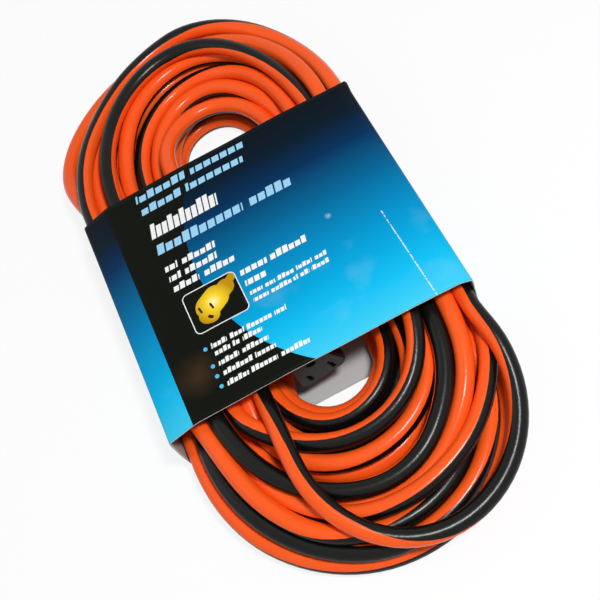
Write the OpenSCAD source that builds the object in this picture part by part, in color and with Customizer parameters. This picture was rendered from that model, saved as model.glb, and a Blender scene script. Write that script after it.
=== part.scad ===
// Outdoor extension cord, wound as a flat oval hank and held by a card sleeve round its waist.
// Millimetres, +Z up. The hank's long axis lies along Y, and the origin is on the floor under
// its middle. The grounded plug and the lighted connector lie inside the hank's eye.

/* [Cord] */
// Outer diameter of the cord's jacket
cord_d = 9.2; // [8.6:0.1:9.8]
// Outer diameter of one insulated conductor
wire_d = 3.4; // [3:0.1:3.8]
// Diameter of the stranded copper
copper_d = 1.85; // [1.5:0.05:2.1]

/* [Hank] */
// Overall length of the hank
hank_l = 342; // [325:1:370]
// Turns in each layer, always a half over
layer_turns = 5.5; // [3.5:1:6.5]
// Layers
layers = 4; // [2:2:4]
// From the hank's middle to the middle of the innermost turn
eye_r = 22.6; // [22:0.2:30]
// Gap between one turn and the next, side by side
turn_gap = 0.8; // [0.7:0.1:2]
// Gap between one layer and the next
layer_gap = 0.5; // [0.5:0.1:2]
// How far the sleeve draws each side in at the waist
waist_draw = 4; // [0:0.5:6]
// From the middle to the end of the drawn-in waist
waist_y = 80; // [78:1:84]
// Length over which the drawn-in turns spread again
flare_l = 25; // [20:1:40]

/* [Sleeve] */
// Length of the sleeve along the hank
sleeve_l = 139; // [110:1:140]
// Thickness of the card
card_t = 0.6; // [0.4:0.1:1]
// Clearance between the card and the cord
sleeve_gap = 0.3; // [0.3:0.1:1]
// Space between the top layer and the front panel
headroom = 5.2; // [4:0.1:12]
// Width of the folded strip along the front panel's left edge
left_fold_w = 16.5; // [8:0.5:24]
// How far the left strip's outer edge drops
left_fold_drop = 6; // [1:0.5:8]
// Width of the folded strip along the front panel's right edge
right_fold_w = 6.5; // [3:0.5:24]
// How far the right strip's outer edge drops
right_fold_drop = 3; // [1:0.5:8]

/* [Blades and pin] */
// Width of a plug blade
blade_w = 6.35; // [6.2:0.05:6.5]
// Thickness of a plug blade
blade_t = 1.5; // [1.4:0.05:1.6]
// Distance between the two blades
blade_pitch = 12.7; // [12.5:0.1:12.9]
// How far a blade stands out of the plug's face
blade_l = 18; // [15.9:0.1:18.3]
// Diameter of the detent hole near a blade's tip
detent_d = 3.1; // [2.8:0.1:3.3]
// From a blade's tip to the middle of its detent hole
detent_y = 6.3; // [5:0.1:8]
// Diameter of the ground pin
pin_d = 4.8; // [4.7:0.05:4.85]
// Diameter of the ground pin's shank, which runs from the moulding to just outside its face
shank_d = 4.4; // [4:0.1:4.6]
// From the line of the blades to the ground pin
pin_offset = 11.9; // [11.7:0.1:12.1]
// How much longer the ground pin is than the blades
pin_extra = 3; // [2:0.1:3.5]
// From the moulding's axis down to the blades
blade_drop = 5; // [4.5:0.1:5.5]
// Outer diameter of a crimp barrel
barrel_d = 3.6; // [3.2:0.1:4]
// Length of a crimp barrel
barrel_l = 7; // [5:0.5:8]

/* [Plug] */
// Width of the plug's moulding at the blades
plug_w = 28; // [25:0.5:30]
// Width of the plug's moulding at the ground pin
plug_top_w = 19; // [17:0.5:22]
// Height of the plug's moulding
plug_h = 26; // [25:0.5:28]
// Length of the plug's head
plug_l = 34; // [32:1:38]
// Depth of the bridge that holds the blades
bridge_l = 9; // [7:0.5:12]
// Thickness of the moulding round the bridge
bridge_wall = 2.4; // [2:0.1:3]

/* [Connector] */
// Width of the connector's moulding at the slots
connector_w = 29; // [27:0.5:32]
// Width of the connector's moulding at the ground hole
connector_top_w = 19; // [18:0.5:22]
// Height of the connector's moulding
connector_h = 25; // [25:0.5:28]
// Length of the connector's body
connector_l = 42; // [40:1:48]
// Turn of the connector about its length
connector_roll = 12; // [0:1:15]
// Thickness of the moulding in front of the contact carrier
face_t = 3; // [2:0.1:4]
// Depth of the contact carrier
carrier_l = 21; // [20:0.5:24]
// Thickness of the moulding round the carrier
carrier_wall = 2; // [1.6:0.1:2.4]
// Width of a blade slot
slot_t = 2.2; // [2:0.1:2.4]
// Length of the line slot
line_slot_w = 7.2; // [7:0.1:7.6]
// Length of the neutral slot
neutral_slot_w = 8.4; // [8:0.1:8.8]
// Diameter of the ground hole
ground_hole_d = 5.2; // [5:0.1:5.4]
// Thickness of a contact's spring leaf
leaf_t = 0.5; // [0.4:0.05:0.6]
// Width of a contact's spring leaf
leaf_w = 6; // [5:0.1:6.3]
// Gap between a contact's leaves, before a blade opens them
contact_grip = 1.4; // [1.2:0.05:1.5]
// Width of the mouth between a contact's leaves
contact_mouth = 3.2; // [2.6:0.1:3.4]

/* [Strain reliefs] */
// Length of a strain relief
relief_l = 20; // [20:1:26]
// Diameter of a strain relief where it leaves the moulding
relief_d = 16; // [15:0.2:17]
// Diameter of a strain relief at its tip
relief_tip_d = 12.4; // [12:0.1:13.5]
// Number of cross slots in a strain relief
relief_slots = 5; // [3:1:5]
// Width of each cross slot
relief_slot_w = 1.6; // [1.2:0.1:1.8]
// Width of the bars that join the rings
relief_bar_w = 5; // [4:0.1:6]
// Solid length of a strain relief between the jacket's end and the moulding
jacket_stop = 2; // [1:0.5:4]
// Radial clearance of the jacket in its strain relief
jacket_gap = 0.05; // [0.05:0.01:0.1]

/* [Indicator lamp] */
// Diameter of the lens
lens_d = 6; // [5:0.1:7]
// How far the lens stands out of the moulding
lens_rise = 0.6; // [0.4:0.1:1]
// Diameter of the lamp's glass
lamp_d = 3.8; // [3:0.1:4]
// Length of the lamp's glass
lamp_l = 8; // [7:0.5:9]
// Diameter of the series resistor
resistor_d = 1.9; // [1.6:0.1:2]
// Length of the series resistor
resistor_l = 4.5; // [4:0.5:6]
// Diameter of a lead
lead_d = 0.5; // [0.4:0.05:0.6]

/* [Hidden] */

orange = [1.0, 0.40, 0.15];
black = [0.08, 0.08, 0.08];
nickel = [0.78, 0.78, 0.76];
brass = [0.80, 0.66, 0.36];
copper = [0.78, 0.45, 0.30];

// Clearance between an inner piece and the moulding or seat round it
seat_gap = 0.05;
// Distance that a cut runs past the face it opens
over = 1;

// --- Sizes of the hank: 24 rings to a turn, five along each run and seven round each fold ---
turn_rings = 24;
run_rings = 5;
fold_rings = 7;
coil_sides = 6;
half_rings = turn_rings/2;
// Rings between the middle of a run and the run's last ring
run_half = (run_rings - 1)/2;
turn_step = cord_d + turn_gap;
layer_step = cord_d + layer_gap;
// Radius of the outermost turn at the waist
peak_r = eye_r + layer_turns*turn_step;
// The spiral drifts outwards all the way, so its two sides reach out unequally at the waist's
// ends, by the half turn between them less the drift along half a run. It is centred by half.
spiral_shift = -turn_step*(0.5 - run_half/turn_rings)/2;
// Half the reach of the hank at its waist
waist_reach = peak_r + spiral_shift + cord_d/2;
// From the middle to the centre of each end's folds
fold_y = hank_l/2 - cord_d/2 - (peak_r + spiral_shift + waist_draw);
stack_h = cord_d + (layers - 1)*layer_step;
// Height of the cord's lowest point above the floor
floor_z = card_t + sleeve_gap;

// --- The coil's way ---
// Half of the climb from one layer to the next, in turns
climb_half = 0.25;
coil_first = run_half;
coil_last = layers*layer_turns*turn_rings - run_half;

function clamp01(v) = max(0, min(1, v));
function smooth(v) = let (c = clamp01(v)) c*c*(3 - 2*c);

// Steps outwards from the innermost turn after t turns: out over one layer, in over the next
function spiral(t) = let (u = t % (2*layer_turns)) min(u, 2*layer_turns - u);

// Height of the cord's middle after t turns
function coil_z(t) = cord_d/2 + layer_step*sum([
    for (k = [1 : layers - 1]) clamp01((t - k*layer_turns + climb_half)/(2*climb_half))
]);

function sum(list) = list*[for (item = list) 1];

// The cord's middle at one ring. Ring 0 is in the middle of the left run.
function coil_point(k) =
    let (
        t = k/turn_rings,
        r = eye_r + turn_step*spiral(t),
        i = k % turn_rings,
        // -1 on the way from the left run round the near fold, +1 on the way back
        way = i < half_rings ? -1 : 1,
        j = i % half_rings,
        z = coil_z(t)
    )
    j <= run_half ? [way*r + spiral_shift, way*waist_y*j/run_half, z]
    : j >= half_rings - run_half
        ? [-way*r + spiral_shift, way*waist_y*(half_rings - j)/run_half, z]
        : fold_point(way, r, 180*(j - run_half - 0.5)/fold_rings, z);

function fold_point(way, r, angle, z) =
    let (
        end_r = r + waist_draw,
        y = fold_y + end_r*sin(angle),
        x = (r + waist_draw*smooth((y - waist_y)/flare_l))*cos(angle)
    )
    [way*x + spiral_shift, way*y, z];

coil_start = coil_point(coil_first) + [0, cord_d, 0];
coil_end = coil_point(coil_last) - [0, cord_d, 0];
coil_route = [
    coil_start,
    for (k = [coil_first : coil_last]) coil_point(k),
    coil_end
];

// --- Places of the plug and the connector in the hank's eye ---
jacket_seat = relief_l - jacket_stop;
// Straight length of each tail outside its strain relief
tail_lead = 3;
plug_x = 0;
plug_z = plug_h/2;
// Where the cord enters each strain relief
plug_entry_y = -6;
connector_entry_y = -4;
connector_x = -3;
// From the front panel down to the connector's moulding
connector_drop = 2.2;
connector_z = stack_h + headroom - connector_drop - connector_h/2;
plug_face_y = plug_entry_y + relief_l + plug_l;
connector_face_y = connector_entry_y - relief_l - connector_l;

// --- Routes of the two tails, with their straight ends inside the strain reliefs ---
tail_sides = 12;
plug_tail_route = [
    [plug_x, plug_entry_y + jacket_seat, plug_z],
    [plug_x, plug_entry_y - tail_lead, plug_z],
    [-1.5, -19, 12.2],
    [-5, -28, 10.6],
    [-13, -37.5, 8.4],
    [-21, -47, 6.4],
    [-25, -56.5, 5.2],
    coil_start + [0, tail_lead, 0],
    coil_start
];
connector_tail_route = [
    [connector_x, connector_entry_y - jacket_seat, connector_z],
    [connector_x, connector_entry_y + tail_lead, connector_z],
    [-3.2, 8, 29.8],
    [-4.5, 19, 31.5],
    [-8.5, 29, 32.9],
    [-14.5, 37, 33.5],
    [-20.5, 45, 33.7],
    [-25, 55.5, 33.7],
    coil_end - [0, tail_lead, 0],
    coil_end
];

// --- Places of the metal parts, looking at a face with the ground on top ---
line_at = [blade_pitch/2, -blade_drop];
neutral_at = [-blade_pitch/2, -blade_drop];
ground_at = [0, pin_offset - blade_drop];
// The three conductors lie against each other inside the jacket
lay_r = wire_d/sqrt(3);
line_lay = lay_r*[cos(-30), sin(-30)];
neutral_lay = lay_r*[cos(210), sin(210)];
ground_lay = lay_r*[0, 1];
wire_sides = 12;
// Length of bare copper between a barrel and its insulation
bare_l = 1;
// Depth of the copper in a barrel
crimp_l = barrel_l - 1;
// From a moulding's face back to its jacket's end
plug_jacket_y = -(plug_l + jacket_stop);
connector_jacket_y = -(connector_l + jacket_stop);
// Where the crimp barrels begin behind each face
plug_barrel_y = -(bridge_l + 2);
carrier_back_y = -(face_t + carrier_l);
contact_back_y = carrier_back_y + 3.5;
leaf_front_y = -(face_t + 1);

// --- Moulded outlines: four corner centres, and arcs that turn round them ---
corner_r = 5;
corner_steps = 6;

function unit(v) = v/norm(v);
function direction(a) = [cos(a), sin(a)];
// Outward normal's angle of a counter-clockwise outline's edge that starts at corner i
function edge_angle(outline, i) =
    let (p = outline[i % len(outline)], q = outline[(i + 1) % len(outline)])
    atan2(p.x - q.x, q.y - p.y);

// A convex, counter-clockwise outline with every edge moved inwards
function inset(outline, t) = [
    for (i = [0 : len(outline) - 1])
        let (
            a = direction(edge_angle(outline, i + len(outline) - 1)),
            b = direction(edge_angle(outline, i))
        )
        outline[i] - t*(a + b)/(1 + a*b)
];

function trapezoid(base_w, top_w, h) = [
    [-base_w/2, -h/2], [base_w/2, -h/2], [top_w/2, h/2], [-top_w/2, h/2]
];

// Rounded outline: spread 1 is the full shape, and near spread 0 it closes to a circle of
// radius r. It stays a little above 0, so that no two of its points meet.
function moulded(outline, spread, r) =
    let (centres = inset(outline, corner_r), n = len(outline))
    [
        for (i = [0 : n - 1])
            let (
                a = edge_angle(outline, i + n - 1),
                turn = (edge_angle(outline, i) - a + 360) % 360
            )
            for (j = [0 : corner_steps])
                spread*centres[i] + r*direction(a + turn*j/corner_steps)
    ];

// The outline of a core that leaves an even wall of the moulding round it
function core(outline, wall) = moulded(outline, 1, corner_r - wall);

plug_outline = trapezoid(plug_w, plug_top_w, plug_h);
connector_outline = trapezoid(connector_w, connector_top_w, connector_h);

neck_spread = 0.05;
// Step from a strain relief's base in to its moulding
neck_step = 0.4;
// From a moulding's back to where its neck ends, its shoulder is nearly full and its body begins
plug_neck_l = 3;
plug_shoulder_l = 8;
connector_neck_l = 4;
connector_shoulder_l = 9;
connector_back_l = 13;
// Corner radii of a moulding at its shoulder, along its drawn-in grip and at its face's edge
shoulder_r = 5.8;
grip_r = 4.4;
grip_swell = 0.2;
face_edge_r = 4;

// Grip: ribs along both sides of each moulding, behind a plain rim at its face
grip_ribs = 5;
grip_rib_d = 1.8;
grip_pitch = 3;
rim_l = 2;
grip_front = 7.5;
grip_back = grip_front + grip_ribs*grip_pitch;

// Sections of each moulding, from its strain relief to its face: y, spread and corner radius
plug_sections = [
    [-plug_l, neck_spread, relief_d/2 - neck_step],
    [-plug_l + plug_neck_l, 0.3, relief_d/2 - 1.5*neck_step],
    [-plug_l + plug_shoulder_l, 0.8, shoulder_r],
    [-grip_back, 0.96, corner_r],
    [-(grip_front + grip_back)/2, 0.95, grip_r - grip_swell],
    [-grip_front, 0.97, grip_r + grip_swell],
    [-rim_l, 1, corner_r],
    [0, 1, face_edge_r]
];
connector_sections = [
    [-connector_l, neck_spread, relief_d/2 - neck_step],
    [-connector_l + connector_neck_l, 0.3, relief_d/2 - 2*neck_step],
    [-connector_l + connector_shoulder_l, 0.82, shoulder_r - grip_swell],
    [-connector_l + connector_back_l, 1, corner_r],
    [-grip_back - rim_l/2, 0.97, grip_r],
    [-grip_front, 0.97, grip_r],
    [-2*rim_l, 1, corner_r],
    [-rim_l/2, 1, corner_r],
    [0, 1, face_edge_r]
];

// --- Swept and lofted solids ---
// A closed solid through rings that all have the same number of points
module skin(rings) {
    n = len(rings[0]);
    last = (len(rings) - 1)*n;
    walls = [
        for (i = [0 : len(rings) - 2], j = [0 : n - 1])
            let (a = i*n + j, b = i*n + (j + 1) % n)
            each [[a, a + n, b], [b, a + n, b + n]]
    ];
    caps = [
        for (j = [1 : n - 2])
            each [[0, j, j + 1], [last, last + j + 1, last + j]]
    ];
    polyhedron([for (ring = rings) each ring], concat(walls, caps), convexity = 10);
}

// A ring of a swept tube, square to its way, with level sides
function tube_ring(centre, way, r, sides) =
    let (side = unit(cross([0, 0, 1], way)), up = cross(way, side))
    [
        for (j = [0 : sides - 1])
            let (a = 360*(j + 0.5)/sides)
            centre + r*cos(a)*side + r*sin(a)*up
    ];

function route_way(route, i) =
    let (last = len(route) - 1)
    i == 0 ? unit(route[1] - route[0])
    : i == last ? unit(route[last] - route[last - 1])
    : unit(unit(route[i + 1] - route[i]) + unit(route[i] - route[i - 1]));

module tube(route, r, sides) {
    skin([
        for (i = [0 : len(route) - 1])
            tube_ring(route[i], route_way(route, i), r, sides)
    ]);
}

function route_length(route) = sum([
    for (i = [1 : len(route) - 1]) norm(route[i] - route[i - 1])
]);

// A moulding's outline, drawn in the face's plane, as a ring at depth y
function face_ring(outline, y) = [for (p = outline) [-p.x, y, p.y]];

module moulding(outline, sections) {
    skin([for (s = sections) face_ring(moulded(outline, s[1], s[2]), s[0])]);
}

// A prism along Y from the face's plane, between two depths
module prism(outline, y_from, y_to) {
    translate([0, y_to, 0]) rotate([90, 0, 0]) linear_extrude(y_to - y_from) polygon(outline);
}

// A round bar along Y
module bar(at, r, y_from, y_to) {
    translate([at.x, y_to, at.y]) rotate([90, 0, 0]) cylinder(r = r, h = y_to - y_from, $fn = 48);
}

// A block along Y, centred on a place in the face's plane
module block(at, w, h, y_from, y_to) {
    translate([at.x - w/2, y_from, at.y - h/2]) cube([w, y_to - y_from, h]);
}

// --- Placing ---
module on_floor() {
    translate([0, 0, floor_z]) children();
}

module at_plug() {
    on_floor() translate([plug_x, plug_face_y, plug_z]) children();
}

module at_connector() {
    on_floor() translate([connector_x, connector_face_y, connector_z])
        rotate([0, -connector_roll, 0]) rotate([0, 0, 180]) children();
}

// --- Sleeve ---
sleeve_corner_r = cord_d/2 + sleeve_gap + card_t;
sleeve_half_w = waist_reach + sleeve_gap + card_t;
sleeve_top = floor_z + stack_h + headroom + card_t;
sleeve_corner_x = sleeve_half_w - sleeve_corner_r;
sleeve_outline = concat(
    [for (a = [-90 : 22.5 : 0]) [sleeve_corner_x, sleeve_corner_r] + sleeve_corner_r*direction(a)],
    [
        [sleeve_half_w, sleeve_top - right_fold_drop],
        [sleeve_half_w - right_fold_w, sleeve_top],
        [-sleeve_half_w + left_fold_w, sleeve_top],
        [-sleeve_half_w, sleeve_top - left_fold_drop]
    ],
    [for (a = [180 : 22.5 : 270]) [-sleeve_corner_x, sleeve_corner_r] + sleeve_corner_r*direction(a)]
);

module sleeve() {
    color([0.10, 0.45, 0.75])
    difference() {
        prism(sleeve_outline, -sleeve_l/2, sleeve_l/2);
        prism(inset(sleeve_outline, card_t), -sleeve_l/2 - over, sleeve_l/2 + over);
    }
}

// --- Cord ---
module cord_hank() {
    halves = [
        for (i = [1 : len(coil_route) - 1])
            each [coil_route[i - 1], (coil_route[i - 1] + coil_route[i])/2]
    ];
    near = min([
        for (i = [0 : len(halves) - 1], k = [i + turn_rings : 1 : len(halves) - 1])
            norm(halves[i] - halves[k])
    ]);
    echo("Least gap of the hank to itself", near - cord_d);
    echo("Length of the cord", sum([
        for (route = [coil_route, plug_tail_route, connector_tail_route]) route_length(route)
    ]));
    color(orange) on_floor() tube(coil_route, cord_d/2, coil_sides);
}

module plug_tail() {
    color(orange) on_floor() tube(plug_tail_route, cord_d/2, tail_sides);
}

module connector_tail() {
    color(orange) on_floor() tube(connector_tail_route, cord_d/2, tail_sides);
}

// --- Conductors inside the mouldings ---
// From its place in the jacket, a conductor spreads to its post and runs straight into it
function wire_route(lay, post, y_lay, y_post) =
    let (straight = 3, mid = (lay + post)/2)
    [
        [lay.x, y_lay, lay.y],
        [lay.x, y_lay + straight, lay.y],
        [mid.x, (y_lay + y_post)/2, mid.y],
        [post.x, y_post - straight, post.y],
        [post.x, y_post, post.y]
    ];

// The same route, starting further back and ending further forwards
function extended(route, back, front) =
    let (last = len(route) - 1)
    [
        for (i = [0 : last])
            route[i] + [0, i == 0 ? -back : i == last ? front : 0, 0]
    ];

module insulation(route, grow = 0) {
    tube(route, wire_d/2 + grow, wire_sides);
}

module hollow_insulation(route) {
    difference() {
        insulation(route);
        tube(extended(route, over, over), copper_d/2 + seat_gap, wire_sides);
    }
}

module conductor(route) {
    tube(extended(route, 0, bare_l + crimp_l), copper_d/2, wire_sides);
}

module barrel(at, y_front) {
    difference() {
        bar(at, barrel_d/2, y_front - barrel_l, y_front + 0.5);
        bar(at, copper_d/2 + seat_gap, y_front - barrel_l - over, y_front - barrel_l + crimp_l);
    }
}

module barrel_seat(at, y_front) {
    bar(at, barrel_d/2 + seat_gap, y_front - barrel_l - bare_l, y_front + over);
}

plug_post_y = plug_barrel_y - barrel_l - bare_l;
plug_line_route = wire_route(line_lay, line_at, plug_jacket_y, plug_post_y);
plug_neutral_route = wire_route(neutral_lay, neutral_at, plug_jacket_y, plug_post_y);
plug_ground_route = wire_route(ground_lay, ground_at, plug_jacket_y, plug_post_y);

contact_barrel_y = contact_back_y - leaf_t;
connector_post_y = contact_barrel_y - barrel_l - bare_l;
connector_line_route = wire_route(line_lay, line_at, connector_jacket_y, connector_post_y);
connector_neutral_route =
    wire_route(neutral_lay, neutral_at, connector_jacket_y, connector_post_y);
connector_ground_route =
    wire_route(ground_lay, ground_at, connector_jacket_y, connector_post_y);

// --- Strain relief: rings joined by pairs of bars that alternate by a quarter turn ---
module strain_relief(y_back) {
    pitch = jacket_seat/(relief_slots + 1);
    // Its solid end runs on into the moulding, so that the two are one piece
    bar(
        [0, 0], relief_tip_d/2,
        y_back + relief_l - jacket_stop/2, y_back + relief_l + jacket_stop/2
    );
    difference() {
        translate([0, y_back, 0]) rotate([-90, 0, 0])
            cylinder(r1 = relief_tip_d/2, r2 = relief_d/2, h = relief_l, $fn = 64);
        bar([0, 0], cord_d/2 + jacket_gap, y_back - over, y_back + jacket_seat);
        for (i = [1 : relief_slots], side = [-1, 1])
            translate([0, y_back + i*pitch, 0]) rotate([0, 90*(i % 2), 0])
                block(
                    [side*(relief_bar_w + relief_d)/2, 0], relief_d, 2*relief_d,
                    -relief_slot_w/2, relief_slot_w/2
                );
    }
}

// --- Plug ---
// Raised ribs along both slanting sides of a moulding
module grip(outline) {
    lower = outline[1];
    upper = outline[2];
    lean = atan2(lower.x - upper.x, upper.y - lower.y);
    middle = (lower + upper)/2;
    for (side = [-1, 1], i = [0 : grip_ribs - 1])
        translate([side*(middle.x - grip_rib_d/2), -grip_front - (i + 0.5)*grip_pitch, middle.y])
            rotate([0, -side*lean, 0])
                cylinder(d = grip_rib_d, h = upper.y - lower.y - 2*corner_r - 2, center = true, $fn = 16);
}

module plug_body() {
    color(black) at_plug()
    difference() {
        union() {
            moulding(plug_outline, plug_sections);
            strain_relief(-plug_l - relief_l);
            grip(plug_outline);
        }
        prism(core(plug_outline, bridge_wall - seat_gap), -bridge_l - seat_gap, over);
        for (at = [line_at, neutral_at]) {
            barrel_seat(at, plug_barrel_y);
            block(at, blade_t + 2*seat_gap, blade_w + 2*seat_gap, plug_barrel_y, -bridge_l);
        }
        bar(ground_at, shank_d/2 + seat_gap, plug_barrel_y - seat_gap, -bridge_l);
        barrel_seat(ground_at, plug_barrel_y);
        for (route = [plug_line_route, plug_neutral_route, plug_ground_route])
            insulation(route, seat_gap);
    }
}

module plug_bridge() {
    color([0.16, 0.16, 0.17]) at_plug()
    difference() {
        prism(core(plug_outline, bridge_wall), -bridge_l, 0);
        for (at = [line_at, neutral_at])
            block(at, blade_t + 2*seat_gap, blade_w + 2*seat_gap, -bridge_l - over, over);
        bar(ground_at, shank_d/2 + seat_gap, -bridge_l - over, over);
    }
}

// Bevelled tip of a blade, seen on its flat side
function blade_outline(root_y) =
    let (w = blade_w/2, bevel = 1.2, tip_w = w - 0.9)
    [
        [root_y, -w], [blade_l - bevel, -w], [blade_l, -tip_w],
        [blade_l, tip_w], [blade_l - bevel, w], [root_y, w]
    ];

module blade(at) {
    color(nickel) at_plug() {
        difference() {
            translate([at.x - blade_t/2, 0, at.y]) rotate([90, 0, 90])
                linear_extrude(blade_t) polygon(blade_outline(plug_barrel_y));
            translate([at.x - blade_t, blade_l - detent_y, at.y]) rotate([0, 90, 0])
                cylinder(d = detent_d, h = 2*blade_t, $fn = 48);
        }
        barrel(at, plug_barrel_y);
    }
}

module line_blade() {
    blade(line_at);
}

module neutral_blade() {
    blade(neutral_at);
}

// How far the shank shows before the full pin begins
shank_out = 0.5;

module ground_pin() {
    tip = blade_l + pin_extra;
    color(nickel) at_plug() {
        bar(ground_at, shank_d/2, plug_barrel_y, shank_out);
        bar(ground_at, pin_d/2, shank_out, tip - pin_d/2);
        translate([ground_at.x, tip - pin_d/2, ground_at.y]) rotate([-90, 0, 0])
            rotate_extrude($fn = 64) intersection() {
                circle(d = pin_d, $fn = 64);
                square(pin_d);
            }
        barrel(ground_at, plug_barrel_y);
    }
}

module plug_line_wire() {
    color(black) at_plug() hollow_insulation(plug_line_route);
}

module plug_neutral_wire() {
    color("white") at_plug() hollow_insulation(plug_neutral_route);
}

module plug_ground_wire() {
    color("green") at_plug() hollow_insulation(plug_ground_route);
}

module plug_line_copper() {
    color(copper) at_plug() conductor(plug_line_route);
}

module plug_neutral_copper() {
    color(copper) at_plug() conductor(plug_neutral_route);
}

module plug_ground_copper() {
    color(copper) at_plug() conductor(plug_ground_route);
}

// --- Connector ---
// A blade contact's two leaves and the web behind them, seen from above
function contact_outline() =
    let (
        grip = contact_grip/2,
        mouth = contact_mouth/2,
        back = 1.5,
        flare_y = leaf_front_y - 3,
        waist_back = contact_back_y + 3,
        half = [
            [mouth, leaf_front_y], [grip, flare_y], [grip, waist_back], [back, contact_back_y]
        ],
        outer = [
            [mouth + leaf_t, leaf_front_y], [grip + leaf_t, flare_y],
            [grip + leaf_t, waist_back], [back + leaf_t, contact_back_y - leaf_t]
        ]
    )
    concat(
        outer,
        [for (i = [3 : -1 : 0]) [-outer[i].x, outer[i].y]],
        [for (p = half) [-p.x, p.y]],
        [for (i = [3 : -1 : 0]) half[i]]
    );

module blade_contact(at) {
    color(brass) at_connector() {
        translate([at.x, 0, at.y - leaf_w/2]) linear_extrude(leaf_w) polygon(contact_outline());
        barrel(at, contact_barrel_y);
    }
}

ground_sleeve_wall = 0.5;
ground_sleeve_slit = 0.8;

module contact_carrier() {
    chamber_w = max(contact_mouth + 2*leaf_t, 3 + 2*leaf_t) + 2*seat_gap;
    color([0.85, 0.83, 0.76]) at_connector()
    difference() {
        prism(core(connector_outline, carrier_wall), carrier_back_y, -face_t);
        for (at = [line_at, neutral_at]) {
            block(at, chamber_w, leaf_w + 2*seat_gap, contact_barrel_y - seat_gap, over - face_t);
            bar(at, barrel_d/2 + seat_gap, carrier_back_y - over, contact_back_y);
        }
        bar(
            ground_at, pin_d/2 + ground_sleeve_wall + seat_gap,
            contact_barrel_y - seat_gap, over - face_t
        );
        bar(ground_at, barrel_d/2 + seat_gap, carrier_back_y - over, contact_back_y);
    }
}

module connector_body() {
    color(black) at_connector()
    difference() {
        union() {
            moulding(connector_outline, connector_sections);
            strain_relief(-connector_l - relief_l);
            grip(connector_outline);
        }
        prism(
            core(connector_outline, carrier_wall - seat_gap),
            carrier_back_y - seat_gap, -face_t + seat_gap
        );
        block(line_at, slot_t, line_slot_w, -face_t - over, over);
        block(neutral_at, slot_t, neutral_slot_w, -face_t - over, over);
        bar(ground_at, ground_hole_d/2, -face_t - over, over);
        for (at = [line_at, neutral_at, ground_at])
            barrel_seat(at, contact_barrel_y);
        for (route = [connector_line_route, connector_neutral_route, connector_ground_route])
            insulation(route, seat_gap);
        lens_form(seat_gap);
        lamp_form(seat_gap);
        resistor_form(seat_gap);
        leads_form(seat_gap);
    }
}

module line_contact() {
    blade_contact(line_at);
}

module neutral_contact() {
    blade_contact(neutral_at);
}

module ground_contact() {
    color(brass) at_connector() {
        difference() {
            bar(ground_at, pin_d/2 + ground_sleeve_wall, contact_back_y - leaf_t, leaf_front_y);
            bar(ground_at, pin_d/2, contact_back_y, leaf_front_y + over);
            block(
                ground_at, ground_sleeve_slit, pin_d*2,
                (contact_back_y + leaf_front_y)/2, leaf_front_y + over
            );
        }
        barrel(ground_at, contact_barrel_y);
    }
}

module connector_line_wire() {
    color(black) at_connector() hollow_insulation(connector_line_route);
}

module connector_neutral_wire() {
    color("white") at_connector() hollow_insulation(connector_neutral_route);
}

module connector_ground_wire() {
    color("green") at_connector() hollow_insulation(connector_ground_route);
}

module connector_line_copper() {
    color(copper) at_connector() conductor(connector_line_route);
}

module connector_neutral_copper() {
    color(copper) at_connector() conductor(connector_neutral_route);
}

module connector_ground_copper() {
    color(copper) at_connector() conductor(connector_ground_route);
}

// --- Indicator lamp: between the line and neutral conductors, under its lens ---
lamp_gap = 0.3;
lamp_y = carrier_back_y - lamp_l/2 - 1.5;
lens_depth = 2.2;
lens_z = -connector_h/2;
lamp_z = lens_z + lens_depth + lamp_gap + lamp_d/2;
resistor_x = lamp_d/2 + lamp_gap + resistor_d/2 + 0.4;
// The leads end against the two contacts' barrels
lead_out = barrel_d/2 + lead_d/2 + lamp_gap/3;

module lens_form(grow = 0) {
    translate([0, lamp_y, lens_z - lens_rise]) {
        cylinder(d = lens_d + 2*grow, h = lens_rise + lens_depth + grow, $fn = 48);
    }
}

module lamp_form(grow = 0) {
    bar([0, lamp_z], lamp_d/2 + grow, lamp_y - lamp_l/2 - grow, lamp_y + lamp_l/2 + grow);
}

module resistor_form(grow = 0) {
    bar(
        [resistor_x, lamp_z], resistor_d/2 + grow,
        lamp_y - resistor_l/2 - grow, lamp_y + resistor_l/2 + grow
    );
}

// Three leads: neutral to lamp, lamp to resistor, resistor to line
module leads_form(grow = 0) {
    lamp_front = lamp_y + lamp_l/2;
    lamp_back = lamp_y - lamp_l/2;
    barrel_mid = contact_barrel_y - barrel_l + 1;
    r = lead_d/2 + grow;
    tube(
        [
            [0, lamp_front - grow, lamp_z],
            [0, lamp_front + lead_d, lamp_z],
            [-lamp_d/2 - lead_d, lamp_front + lead_d, lamp_z],
            [-blade_pitch/2 + 1.2, barrel_mid + 1, -blade_drop - lead_out + 0.3],
            [-blade_pitch/2 + 0.4, barrel_mid + 0.6, -blade_drop - lead_out]
        ],
        r, wire_sides/2
    );
    tube(
        [
            [0, lamp_back + grow, lamp_z],
            [0, lamp_back - lead_d, lamp_z],
            [resistor_x/2, lamp_back - 3*lead_d, lamp_z],
            [resistor_x, lamp_back - lead_d, lamp_z],
            [resistor_x, lamp_y - resistor_l/2 + grow, lamp_z]
        ],
        r, wire_sides/2
    );
    tube(
        [
            [resistor_x, lamp_y + resistor_l/2 - grow, lamp_z],
            [resistor_x, lamp_y + resistor_l/2 + lead_d, lamp_z],
            [blade_pitch/2 - 1.2, barrel_mid + 0.4, -blade_drop - lead_out + 0.2],
            [blade_pitch/2 - 0.4, barrel_mid + 0.6, -blade_drop - lead_out]
        ],
        r, wire_sides/2
    );
}

module indicator_lens() {
    color([1.0, 0.62, 0.12]) at_connector() lens_form();
}

module indicator_lamp() {
    color([1.0, 0.75, 0.45]) at_connector() lamp_form();
}

module lamp_resistor() {
    color([0.72, 0.58, 0.40]) at_connector() resistor_form();
}

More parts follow.
